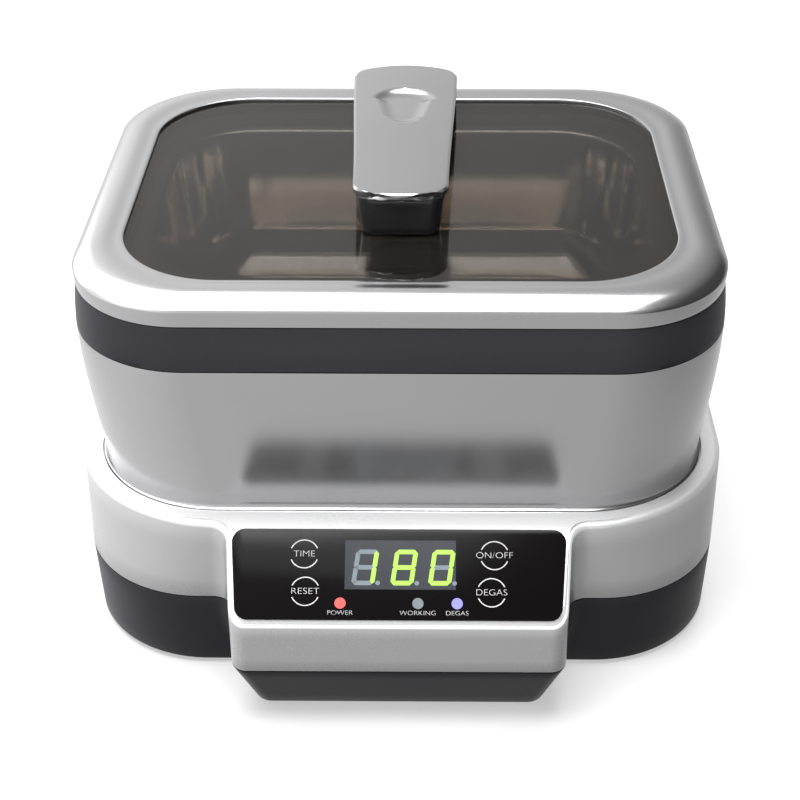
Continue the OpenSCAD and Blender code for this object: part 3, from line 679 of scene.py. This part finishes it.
def build_housing():
    lip_low, lip_top, lip_width = 63.9, 66.4, 9
    rings = [ring(RABBET, RABBET_H, 0.4), ring(RABBET, BASE_H - 0.3, 0.4),
             ring(RABBET, BASE_H, 0.5), ring(RABBET, BASE_H + 0.15, 0.8)]
    foot = inward(RABBET, 0.8)
    for step in range(1, 13):
        t = math.pi / 2 * step / 12
        rings.append(ring(WAIST.lerp(foot, 1 - math.sin(t)),
                          BASE_H + 0.15 + (WAIST_H - BASE_H - 0.15) * (1 - math.cos(t))))
    for step in range(1, 25):
        t = step / 24
        size = (WAIST * (1 - t) * (1 - 2 * t) + BELLY * 4 * t * (1 - t)
                + WIDEST * t * (2 * t - 1))
        size.y = WAIST.y + (WIDEST.y - WAIST.y) * smoothstep(t)
        rings.append(ring(size, WAIST_H + (COLLAR_LOW - 0.5 - WAIST_H) * t))
    rings += [ring(WIDEST, COLLAR_LOW - 0.15, 0.1), ring(WIDEST, COLLAR_LOW - 0.08, 0.4),
              ring(WIDEST, COLLAR_LOW - 0.08, WALL), ring(BELLY, 100.0, WALL),
              ring(WAIST, WAIST_H, WALL), ring(WAIST, lip_top, WALL),
              ring(WAIST, lip_top, lip_width), ring(WAIST, lip_low, lip_width),
              ring(TRAY, lip_low, 0.6), ring(TRAY, RABBET_H, 0.6)]
    housing = loft("housing", rings, closed=True)
    return finish_piece(housing, "tank_unit", "silver_paint", SILVER, "tank_housing")


def build_collar():
    rings = [ring(WIDEST, COLLAR_LOW + 0.06, 0.4), ring(WIDEST, COLLAR_LOW + 0.15, 0.1)]
    for step in range(9):
        t = step / 8
        rings.append(ring(WIDEST.lerp(LID_RIM, t),
                          COLLAR_LOW + 0.4 + (COLLAR_TOP - COLLAR_LOW - 0.9) * t,
                          -0.25 * math.sin(math.pi * t)))
    mouth = level(MOUTH.x + 4, MOUTH.y + 4, 34)
    rings += [ring(LID_RIM, COLLAR_TOP - 0.1, 0.2), ring(LID_RIM, COLLAR_TOP, 0.6),
              ring(mouth, COLLAR_TOP), ring(mouth, COLLAR_TOP - WALL),
              ring(LID_RIM, COLLAR_TOP - WALL, WALL),
              ring(WIDEST, COLLAR_LOW - COLLAR_SKIRT, 2 * WALL),
              ring(WIDEST, COLLAR_LOW - COLLAR_SKIRT, WALL + 0.6),
              ring(WIDEST, COLLAR_LOW, WALL + 0.2)]
    collar = loft("collar", rings, closed=True)
    return finish_piece(collar, "tank_unit", "charcoal_collar", COLLAR, "tank_collar")


FLANGE_Z = 146.4
SHEET = 0.8
TANK_FLOOR = 88.0
BASIN_DEPTH = FLANGE_Z + SHEET - TANK_FLOOR
BASIN_DRAFT = math.radians(5)


def basin_section(height, inset):
    """A basin level above the floor, narrowing downwards by the draft."""
    return (inward(MOUTH, inset + math.tan(BASIN_DRAFT) * (BASIN_DEPTH - height)),
            TANK_FLOOR + height)


def build_tank():
    fillet, lip = 17.0, 2.4
    step_in, step_h, step_rows = 12.0, 2.2, 5
    inner = []
    for k in range(step_rows):
        t = k / (step_rows - 1)
        size, z = basin_section(0, fillet + step_in + 4 * (1 - t))
        inner.append((size, z - step_h * (1 - smoothstep(t))))
    for k in range(1, 13):
        t = math.pi / 2 * k / 12
        inner.append(basin_section(fillet * (1 - math.cos(t)), fillet * (1 - math.sin(t))))
    inner += [basin_section(BASIN_DEPTH * 0.6, 0), basin_section(BASIN_DEPTH - lip, 0)]
    mouth = inner[-1][0]
    for k in range(1, 7):
        t = math.pi / 2 * k / 6
        inner.append((inward(mouth, -lip * (1 - math.cos(t))),
                      FLANGE_Z + SHEET - lip * (1 - math.sin(t))))
    brim = level(108.4, 86.9, 37.4)
    rings = [ring(size, z) for size, z in inner]
    edge = [(0, SHEET), (-1, SHEET - 0.3), (-1.8, 0), (-2.1, -1)]
    rings += [ring(brim, FLANGE_Z + rise, grow) for grow, rise in edge]
    rings += [ring(brim, FLANGE_Z + rise - SHEET, grow + SHEET) for grow, rise in reversed(edge)]
    rings += [ring(size, z - SHEET * 0.4, -SHEET) for size, z in reversed(inner[step_rows:])]
    rings += [ring(size, z - SHEET) for size, z in reversed(inner[:step_rows])]
    tank = loft("basin", rings)
    return finish_piece(tank, "tank_unit", "tank_steel", STEEL, "steel_tank")

# ---------------------------------------------------------------- lid

GLASS_Z = 151.2
GLASS_TOP = 153.4
CREST_Z = 155.2
FRAME_LIP_Z = 154.1


def build_lid_frame():
    # Distance in from the outer edge and rise above the collar, up to the window
    outside = [(0.5, 0.1), (0.1, 0.25), (0.0, 0.6), (-0.2, 3.5), (-0.3, 5.9),
               (-0.1, 6.35), (0.5, 6.95), (1.5, 7.8), (2.8, 8.6), (4.3, 9.25),
               (5.9, 9.75), (7.4, 10.05), (8.8, 10.18), (10.2, 10.12), (11.6, 9.9),
               (13.0, 9.68), (14.4, 9.6), (15.8, 9.66)]
    span = LID_RIM.x - WINDOW.x
    rings = [ring(LID_RIM + (WINDOW - LID_RIM) * (d / span), COLLAR_TOP + rise)
             for d, rise in outside]
    rings += [ring(WINDOW, FRAME_LIP_Z + 0.52, -0.5), ring(WINDOW, FRAME_LIP_Z + 0.35, -0.12),
              ring(WINDOW, FRAME_LIP_Z),
              ring(WINDOW, GLASS_TOP + 0.02), ring(WINDOW, GLASS_TOP + 0.02, -4.6),
              ring(WINDOW, GLASS_Z, -4.6), ring(LID_RIM, GLASS_Z, 5.4), ring(LID_RIM, 148.4, WALL),
              ring(LID_RIM, COLLAR_TOP + 0.1, WALL)]
    lid = loft("lid_rim", rings, closed=True)
    return finish_piece(lid, "lid", "silver_paint", SILVER, "lid_frame")


def build_window():
    window = loft("window", [ring(WINDOW, GLASS_Z, -4.0), ring(WINDOW, GLASS_Z + 0.3, -4.4),
                             ring(WINDOW, GLASS_TOP - 0.3, -4.4),
                             ring(WINDOW, GLASS_TOP, -4.0)])
    return finish_piece(window, "lid", "smoked_glass", SMOKED, "lid_window")


HANDLE_FRONT, HANDLE_REAR = -47.0, 91.5
HANDLE_TOP, HANDLE_TOP_REAR = 171.0, 165.4
GRIP_T = 3.1


def grip_share(y):
    """How far along the grip a point is, from 0 at its front to 1 at its rear."""
    return (y - HANDLE_FRONT) / (HANDLE_REAR - HANDLE_FRONT)


def grip_top(y):
    """Height of the grip's top along its length."""
    return HANDLE_TOP + (HANDLE_TOP_REAR - HANDLE_TOP) * max(grip_share(y), 0.0) ** 1.3


def build_handle_base():
    front, rear = -45.0, 78.5
    mid, half = (front + rear) / 2, (rear - front) / 2
    # Half width, half length and height; the last one ends under the grip
    levels = [(13.6, half - 0.8, 154.0), (14.1, half - 0.25, 154.15), (14.35, half, 154.6),
              (14.6, half, 157.0), (15.1, half - 0.1, 160.5), (15.75, half - 0.6, 200.0)]
    rings = [[(x, y, min(z, grip_top(y) - GRIP_T + 0.1))
              for x, y, z in ring(level(a, b, 4.8), z, mid_y=mid)] for a, b, z in levels]
    riser = loft("handle_riser", rings)
    return finish_piece(riser, "lid", "handle_black", HANDLE_BLACK, "handle_base")


def scoop_depth(x, y):
    """Depth of the thumb scoop, wide at its rear end and narrow at its front."""
    front, rear = 23.0, 62.0
    r_front, r_rear = 6.4, 12.5
    slope, depth = 5.0, 1.9
    t = min(max((y - front) / (rear - front), 0.0), 1.0)
    half = r_front + (r_rear - r_front) * t
    if y < front + r_front:
        d = math.hypot(x, y - front - r_front) - r_front
    elif y > rear - r_rear:
        d = math.hypot(x, y - rear + r_rear) - r_rear
    else:
        d = abs(x) - half
    inside = min(max(-d / slope, 0.0), 1.0)
    return (1 - (1 - inside) ** 2) * depth * (0.55 + 0.45 * t)


def grip_half(y):
    """Half width of the grip, with its rounded ends."""
    t = grip_share(y)
    half = 17.0 + 4.8 * smoothstep(0.15 + t * 0.85) * (0.35 + 0.65 * t) ** 0.4
    for end, r in ((y - HANDLE_FRONT, 8.0), (HANDLE_REAR - y, 10.0)):
        if end < r:
            half -= r - math.sqrt(max(0.0, r * r - (r - end) ** 2))
    return half


def build_handle_cover():
    rows, across = 130, 44
    roll, roll_drop, crown = 1.1, 0.9, 0.35
    leg_start, leg_run = 74.0, 7.0

    def section(y, shrink, drop):
        """Cross-section of the grip, made smaller and lower towards its ends."""
        half, top = grip_half(y) - shrink, grip_top(y) - drop
        leg = smoothstep((y - leg_start) / leg_run)
        low = top - GRIP_T + 2 * drop - leg * (top - GRIP_T - CREST_Z - 0.12)
        bow = 2.6 * (1 - 2 * grip_share(y))
        points = []
        for k in range(across + 1):
            u = 1 - 2 * k / across
            edge = max(0.0, (abs(u) - 1) * half + roll) / roll
            yy = y + bow * u * u
            z = top - roll_drop * (1 - math.sqrt(max(0.0, 1 - edge * edge))) - crown * u * u
            points.append((half * u, yy, z - scoop_depth(half * u, yy)))
        for k in range(across + 1):
            u = 2 * k / across - 1
            points.append(((half - 0.25) * u, y + bow * u * u, low))
        return points

    rings = [section(HANDLE_FRONT + 0.02, 0.9, 1.2), section(HANDLE_FRONT + 0.08, 0.45, 0.75),
             section(HANDLE_FRONT + 0.3, 0.12, 0.3)]
    first, last = HANDLE_FRONT + 0.8, HANDLE_REAR - 0.7
    for k in range(rows + 1):
        t = (1 - math.cos(math.pi * k / rows)) / 2
        rings.append(section(first + (last - first) * (0.35 * t + 0.65 * k / rows), 0, 0))
    rings += [section(HANDLE_REAR - 0.3, 0.1, 0.25), section(HANDLE_REAR - 0.03, 0.5, 0.9)]
    cover = loft("handle_grip", rings)
    return finish_piece(cover, "lid", "silver_paint", GRIP_SILVER, "handle_cover")

# ---------------------------------------------------------------- control panel


def glow_material(name, color, strength, base):
    """A finish in a base colour that gives off light in another."""
    return material(name, base, roughness=0.35, grain=0.04, grain_scale=4000,
                    emission_color=(*color, 1), emission_strength=strength)


PRINT_WHITE = material("print_white", (0.34, 0.34, 0.34), roughness=0.5, grain=0.03,
                       grain_scale=3000)
DIGIT_ON = glow_material("digit_on", (0.47, 1.0, 0.03), 0.95, (0.03, 0.06, 0.003))
DIGIT_OFF = material("digit_off", (0.062, 0.085, 0.1), roughness=0.4, grain=0.05)
DISPLAY = material("display_glass", (0.0035, 0.0055, 0.010), roughness=0.25, grain=0.05,
                   tint=0.3, specular_ior_level=0.3)
LAMP_RED = glow_material("lamp_red", (1.0, 0.045, 0.03), 1.0, (0.1, 0.01, 0.01))
LAMP_GREY = material("lamp_grey", (0.075, 0.092, 0.103), roughness=0.3, grain=0.04)
LAMP_BLUE = glow_material("lamp_blue", (0.26, 0.25, 1.0), 1.0, (0.03, 0.03, 0.1))
PRINT_H = 0.06
CAP_SHARE = 0.73  # height of a capital over the font's size


def panel_mesh(name, outlines, height, thickness=0.05):
    """Thin raised prints on the panel from closed outlines in panel coordinates."""
    verts, faces = [], []
    for outline in outlines:
        n, start = len(outline), len(verts)
        for h in (height, height + thickness):
            verts += [panel_point(u, v, h) for u, v in outline]
        faces.append(tuple(start + i for i in reversed(range(n))))
        faces.append(tuple(start + n + i for i in range(n)))
        for i in range(n):
            j = (i + 1) % n
            faces.append((start + i, start + j, start + n + j, start + n + i))
    return make_object(name, verts, faces)


def arc_band(cx, cy, r, width, start, end, steps=24):
    """Outline of a curved line of a width."""
    outer = arc(cx, cy, r, start, end, steps)
    inner = arc(cx, cy, r - width, end, start, steps)
    return outer + inner


def panel_text(name, words, u, v, cap, mat, widen):
    """Generic function word as a thin mesh on the panel, centred on a point.

    The letters are cap high, and widen stretches them across.
    """
    curve = bpy.data.curves.new(name, "FONT")
    curve.body = words
    curve.size = cap / CAP_SHARE
    curve.align_x = "CENTER"
    curve.align_y = "CENTER"
    curve.extrude = 0.025
    curve.offset = -0.03 * cap
    curve.resolution_u = 6
    holder = add_object(name + "_curve", curve)
    graph = bpy.context.evaluated_depsgraph_get()
    mesh = bpy.data.meshes.new_from_object(holder.evaluated_get(graph))
    bpy.data.objects.remove(holder)
    for vert in mesh.vertices:
        vert.co = place(*panel_point(u + vert.co.x * widen, v + vert.co.y,
                                     PRINT_H + vert.co.z))
    return finish_piece(add_object(name, mesh), "base", "panel_black", mat)


def segment(cx, cy, length, width, upright):
    """Six-cornered display segment."""
    h, w = length / 2, width / 2
    points = [(-h, 0), (-h + w, -w), (h - w, -w), (h, 0), (h - w, w), (-h + w, w)]
    if upright:
        points = [(-y, x) for x, y in points]
    return [(cx + x, cy + y) for x, y in points]


def build_overlay():
    levels = [(0.0, -PANEL_T), (0.0, -0.12), (-0.05, -0.03), (-0.16, 0.0)]
    rings = [[panel_point(u, v, h) for u, v in panel_outline(grow)] for grow, h in levels]
    overlay = loft("overlay", rings)
    finish_piece(overlay, "base", "panel_black", PANEL, "panel_overlay")
    mark_r, mark_line = 5.3, 0.38
    words = [("TIME", -34.0, -9.3, 1.13), ("RESET", -33.4, -22.9, 1.2),
             ("ON/OFF", 34.4, -9.6, 1.13), ("DEGAS", 33.3, -23.1, 1.13)]
    for text, u, v, widen in words:
        tag = text.lower().replace("/", "_")
        marks = [arc_band(u, v, mark_r, mark_line, start, start + 132) for start in (24, 204)]
        finish_piece(panel_mesh("ring_" + tag, marks, 0.02), "base", "panel_black", PRINT_WHITE)
        panel_text("word_" + tag, text, u, v, 2.4, PRINT_WHITE, widen)
    lamps = [("POWER", -20.8, LAMP_RED), ("WORKING", 7.0, LAMP_GREY), ("DEGAS", 21.0, LAMP_BLUE)]
    for text, u, mat in lamps:
        tag = text.lower()
        lens = panel_mesh("lamp_" + tag, [arc(u, -27.1, 2.0, 0, 348.75, 31)], 0.02)
        lens.visible_glossy = False
        finish_piece(lens, "base", "led_lens", mat)
        panel_text("label_" + tag, text, u, -30.6, 1.7, PRINT_WHITE, 1.15)


def build_display():
    left, right, low, high = -19.3, 20.5, -22.1, -4.2
    glass = panel_mesh("display_glass", [[(left, low), (right, low), (right, high), (left, high)]],
                       0.01, 0.02)
    finish_piece(glass, "base", "display_dark", DISPLAY)
    lean = math.tan(math.radians(8))
    mid, tall, wide, bar = -14.1, 13.0, 8.3, 1.65
    # Middle of each digit across the panel, and its segments that are lit
    digits = [(-12.0, "BC"), (2.0, "ABCDEFG"), (15.5, "ABCDEF")]
    half, side = tall / 2 - bar / 2, (wide - bar) / 2
    # Middle of each segment, and whether it stands upright
    places = {"A": (0, half, False), "B": (side, half / 2, True), "C": (side, -half / 2, True),
              "D": (0, -half, False), "E": (-side, -half / 2, True),
              "F": (-side, half / 2, True), "G": (0, 0, False)}
    lit, unlit = [], []
    for cx, on in digits:
        for key, (x, y, upright) in places.items():
            length = half - 0.25 if upright else wide - bar - 0.25
            shape = segment(x, y, length + bar * 0.55, bar, upright)
            shape = [(cx + u + v * lean, mid + v) for u, v in shape]
            (lit if key in on else unlit).append(shape)
        unlit.append(arc(cx + wide / 2 + 1.2 - half * lean, mid - half, 0.85, 0, 337.5, 15))
    glow = finish_piece(panel_mesh("digits_on", lit, 0.05), "base", "display_dark", DIGIT_ON)
    glow.visible_glossy = False
    finish_piece(panel_mesh("digits_off", unlit, 0.045), "base", "display_dark", DIGIT_OFF)

# ---------------------------------------------------------------- stage


def build_stage():
    """A white floor that glows a little and that reflections and bounced light don't see."""
    half = 4.0
    mesh = bpy.data.meshes.new("bench_top")
    mesh.from_pydata([(-half, -half, 0), (half, -half, 0), (half, half, 0), (-half, half, 0)],
                     [], [(0, 1, 2, 3)])
    mesh.materials.append(glow_material("bench_white", (1.0, 1.0, 1.0), 0.5,
                                        (0.22, 0.22, 0.22)))
    floor = add_object("bench_top", mesh)
    floor.visible_glossy = False
    floor.visible_diffuse = False


def area_light(name, spot, target, width, depth, power):
    """A rectangular light that faces a target and that the camera doesn't see."""
    light = bpy.data.lights.new(name, "AREA")
    light.shape = "RECTANGLE"
    light.size = width
    light.size_y = depth
    light.energy = power
    obj = add_object(name, light)
    obj.location = spot
    direction = Vector(target) - Vector(spot)
    obj.rotation_euler = direction.to_track_quat("-Z", "Y").to_euler()
    obj.visible_camera = False


def build_world():
    """Studio surround, paler to the left and darker to the right, most so from above.

    The camera sees plain white, and bounced light an even and much weaker surround.
    """
    world = bpy.data.worlds.new("studio")
    bpy.context.scene.world = world
    world.use_nodes = True
    nodes, links = world.node_tree.nodes, world.node_tree.links
    where = nodes.new("ShaderNodeTexCoord")
    split = nodes.new("ShaderNodeSeparateXYZ")
    path = nodes.new("ShaderNodeLightPath")
    links.new(where.outputs["Generated"], split.inputs["Vector"])

    def ramp(axis, start, end, low, high):
        node = nodes.new("ShaderNodeMapRange")
        for key, value in zip(("From Min", "From Max", "To Min", "To Max"),
                              (start, end, low, high)):
            node.inputs[key].default_value = value
        links.new(split.outputs[axis], node.inputs["Value"])
        return node.outputs["Result"]

    def background(grey, strength):
        node = nodes.new("ShaderNodeBackground")
        node.inputs["Color"].default_value = (grey, grey, grey, 1)
        node.inputs["Strength"].default_value = strength
        return node.outputs["Background"]

    def by_ray(kind, others, chosen):
        """One shader for rays of a kind, and another for the rest."""
        node = nodes.new("ShaderNodeMixShader")
        links.new(path.outputs[kind], node.inputs["Fac"])
        links.new(others, node.inputs[1])
        links.new(chosen, node.inputs[2])
        return node.outputs["Shader"]

    blend = nodes.new("ShaderNodeMix")
    links.new(ramp("Z", -0.05, 0.2, 0.0, 1.0), blend.inputs["Factor"])
    links.new(ramp("X", -0.8, 0.8, 1.25, 0.6), blend.inputs["A"])
    links.new(ramp("X", -0.6, 0.6, 2.0, 0.1), blend.inputs["B"])
    surround = nodes["Background"]
    surround.inputs["Color"].default_value = (1, 1, 1, 1)
    links.new(blend.outputs["Result"], surround.inputs["Strength"])
    lit = by_ray("Is Diffuse Ray", surround.outputs["Background"], background(0.8, 0.12))
    seen = by_ray("Is Camera Ray", lit, background(1, 1))
    links.new(seen, nodes["World Output"].inputs["Surface"])


def build_lights():
    middle = (0.0, 0.0, 0.07)
    area_light("top_card", (-0.4, 0.1, 1.5), middle, 1.9, 2.0, 62)
    area_light("key_box", (-0.12, 0.0, 1.4), middle, 0.9, 0.9, 58)
    area_light("side_card", (-1.5, 1.3, 0.75), middle, 1.3, 0.9, 9)


def build_camera():
    """The photograph's camera, from a fit to the object's outlines."""
    spot = (12.22, -573.47, 425.74)
    yaw, pitch = math.radians(-0.45), math.radians(33.53)
    data = bpy.data.cameras.new("camera")
    data.sensor_fit = "HORIZONTAL"
    data.sensor_width = 36.0
    data.lens = 73.21
    data.shift_x = -0.0284
    data.shift_y = 0.019
    camera = add_object("camera", data)
    forward = Vector((math.sin(yaw) * math.cos(pitch), math.cos(yaw) * math.cos(pitch),
                      -math.sin(pitch)))
    right = Vector((math.cos(yaw), -math.sin(yaw), 0))
    turn = Matrix((right, right.cross(forward), -forward)).transposed()
    camera.matrix_world = Matrix.Translation(place(*spot)) @ turn.to_4x4()
    bpy.context.scene.camera = camera


build_camera()
build_upper_shell()
build_lower_shell()
build_housing()
build_collar()
build_tank()
build_lid_frame()
build_window()
build_handle_base()
build_handle_cover()
build_overlay()
build_display()
dress_cad_parts({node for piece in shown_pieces() for node in piece.get("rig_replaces", [])})
build_stage()
build_world()
build_lights()
bpy.context.scene.view_settings.view_transform = "Standard"
